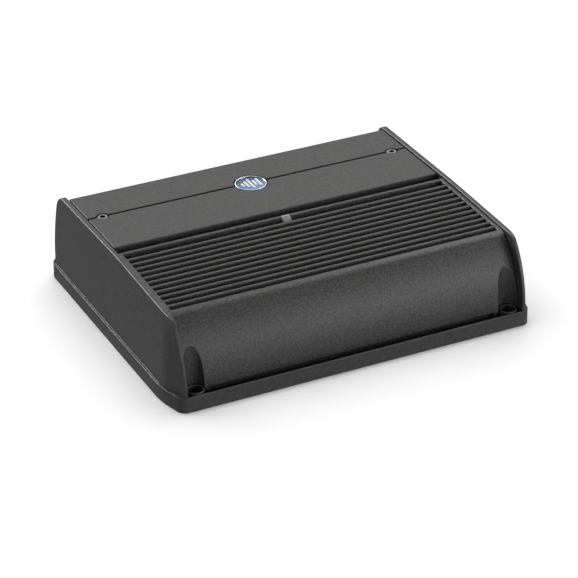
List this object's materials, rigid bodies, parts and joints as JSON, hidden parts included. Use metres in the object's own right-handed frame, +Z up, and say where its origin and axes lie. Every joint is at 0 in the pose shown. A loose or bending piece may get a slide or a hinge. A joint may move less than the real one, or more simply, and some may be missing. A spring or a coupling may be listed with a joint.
{
  "type": "car audio amplifier",
  "caption": "Slim car audio amplifier: ribbed cast heatsink between two drafted end caps, lift-off connector cover with a round badge, shallow base tray with corner mounting holes.",
  "frame": {"origin": "middle of the footprint, on the surface the amplifier is screwed to", "axes": "+X along the ribs to the right seen from the front, +Y to the connector side, +Z up"},
  "size_m": [0.2204, 0.181, 0.052],
  "materials": {
    "charcoal_coat": "satin fine-texture powder coat",
    "tray_coat": "satin powder coat",
    "dark_screw": "dark zinc plated",
    "plain_screw": "zinc plated",
    "badge_rim": "polished",
    "badge_blue": "domed enamel",
    "badge_white": "enamel",
    "frosted_window": "frosted light guide",
    "led": "clear epoxy",
    "circuit_board": "solder mask",
    "chip_black": "moulded epoxy",
    "panel_black": "satin",
    "black_plastic": "moulded",
    "grey_plastic": "moulded",
    "knob_plastic": "moulded, fluted",
    "switch_white": "moulded",
    "seal_rubber": "matte",
    "pad_grey": "silicone",
    "brass": "machined",
    "nickel": "nickel plated",
    "green_plastic": "moulded",
    "capacitor_sleeve": "shrink sleeve",
    "ferrite": "coated core",
    "copper_wire": "enamelled",
    "bare_aluminium": "mill finish"
  },
  "bodies": {
    "chassis": {"base_tray": "tray_coat", "heatsink": "charcoal_coat", "left_end_cap": "charcoal_coat", "right_end_cap": "charcoal_coat", "cover_gasket": "seal_rubber", "light_pipe": "frosted_window", "status_led": "led", "tray_screws": "dark_screw", "cap_screws": "dark_screw", "main_board": "circuit_board", "board_screws": "plain_screw", "board_chips": "chip_black", "control_board": "circuit_board", "control_spacers": "nickel", "control_board_screws": "plain_screw", "control_panel": "panel_black", "panel_screws": "dark_screw", "potentiometers": "grey_plastic", "switch_bodies": "grey_plastic", "rear_panel": "panel_black", "rear_panel_screws": "dark_screw", "wire_grommets": "seal_rubber", "power_terminal_block": "black_plastic", "wire_clamps": "brass", "speaker_header": "green_plastic", "speaker_pins": "nickel", "rca_housing": "black_plastic", "rca_shells": "nickel", "remote_jack": "black_plastic", "power_transistors": "chip_black", "thermal_pad": "pad_grey", "clamp_bar": "bare_aluminium", "clamp_screws": "plain_screw", "bulk_capacitors": "capacitor_sleeve", "power_toroid_core": "ferrite", "power_toroid_winding": "copper_wire", "choke_cores": "ferrite", "choke_windings": "copper_wire"},
    "access_cover": {"access_cover": "charcoal_coat", "badge_bezel": "badge_rim", "badge_disc": "badge_blue", "badge_bars": "badge_white"},
    "cover_screw_left": {"cover_screw_left": "dark_screw"},
    "cover_screw_right": {"cover_screw_right": "dark_screw"},
    "speaker_plug": {"speaker_plug": "green_plastic"},
    "knob_1": {"control_knob_1": "knob_plastic"},
    "knob_2": {"control_knob_2": "knob_plastic"},
    "knob_3": {"control_knob_3": "knob_plastic"},
    "knob_4": {"control_knob_4": "knob_plastic"},
    "knob_5": {"control_knob_5": "knob_plastic"},
    "knob_6": {"control_knob_6": "knob_plastic"},
    "slider_1": {"switch_slider_1": "switch_white"},
    "terminal_screw_1": {"terminal_screw_1": "plain_screw"},
    "slider_2": {"switch_slider_2": "switch_white"},
    "terminal_screw_2": {"terminal_screw_2": "plain_screw"},
    "slider_3": {"switch_slider_3": "switch_white"},
    "terminal_screw_3": {"terminal_screw_3": "plain_screw"}
  },
  "joints": [
    {"name": "cover_lift", "type": "slide", "parent": "chassis", "child": "access_cover", "axis": [0, 0, 1], "range_m": [0, 0.06]},
    {"name": "cover_screw_left_turn", "type": "hinge", "parent": "access_cover", "child": "cover_screw_left", "pos_m": [-0.0917, 0.0469, 0.05], "axis": [0, 0, 1], "continuous": true},
    {"name": "cover_screw_right_turn", "type": "hinge", "parent": "access_cover", "child": "cover_screw_right", "pos_m": [0.0917, 0.0469, 0.05], "axis": [0, 0, 1], "continuous": true},
    {"name": "knob_1_turn", "type": "hinge", "parent": "chassis", "child": "knob_1", "pos_m": [-0.064, 0.028, 0.042], "axis": [0, 0, 1], "range_deg": [-150, 150]},
    {"name": "knob_2_turn", "type": "hinge", "parent": "chassis", "child": "knob_2", "pos_m": [-0.046, 0.028, 0.042], "axis": [0, 0, 1], "range_deg": [-150, 150]},
    {"name": "knob_3_turn", "type": "hinge", "parent": "chassis", "child": "knob_3", "pos_m": [-0.028, 0.028, 0.042], "axis": [0, 0, 1], "range_deg": [-150, 150]},
    {"name": "knob_4_turn", "type": "hinge", "parent": "chassis", "child": "knob_4", "pos_m": [0.028, 0.028, 0.042], "axis": [0, 0, 1], "range_deg": [-150, 150]},
    {"name": "knob_5_turn", "type": "hinge", "parent": "chassis", "child": "knob_5", "pos_m": [0.046, 0.028, 0.042], "axis": [0, 0, 1], "range_deg": [-150, 150]},
    {"name": "knob_6_turn", "type": "hinge", "parent": "chassis", "child": "knob_6", "pos_m": [0.064, 0.028, 0.042], "axis": [0, 0, 1], "range_deg": [-150, 150]},
    {"name": "slider_1_slide", "type": "slide", "parent": "chassis", "child": "slider_1", "axis": [0, 1, 0], "range_m": [-0.002, 0.002]},
    {"name": "slider_2_slide", "type": "slide", "parent": "chassis", "child": "slider_2", "axis": [0, 1, 0], "range_m": [-0.002, 0.002]},
    {"name": "slider_3_slide", "type": "slide", "parent": "chassis", "child": "slider_3", "axis": [0, 1, 0], "range_m": [-0.002, 0.002]},
    {"name": "terminal_screw_1_turn", "type": "hinge", "parent": "chassis", "child": "terminal_screw_1", "pos_m": [-0.074, 0.059, 0.027], "axis": [0, 0, 1], "continuous": true},
    {"name": "terminal_screw_2_turn", "type": "hinge", "parent": "chassis", "child": "terminal_screw_2", "pos_m": [-0.058, 0.059, 0.027], "axis": [0, 0, 1], "continuous": true},
    {"name": "terminal_screw_3_turn", "type": "hinge", "parent": "chassis", "child": "terminal_screw_3", "pos_m": [-0.042, 0.059, 0.027], "axis": [0, 0, 1], "continuous": true},
    {"name": "speaker_plug_pull", "type": "slide", "parent": "chassis", "child": "speaker_plug", "axis": [0, 1, 0], "range_m": [0, 0.016]}
  ]
}
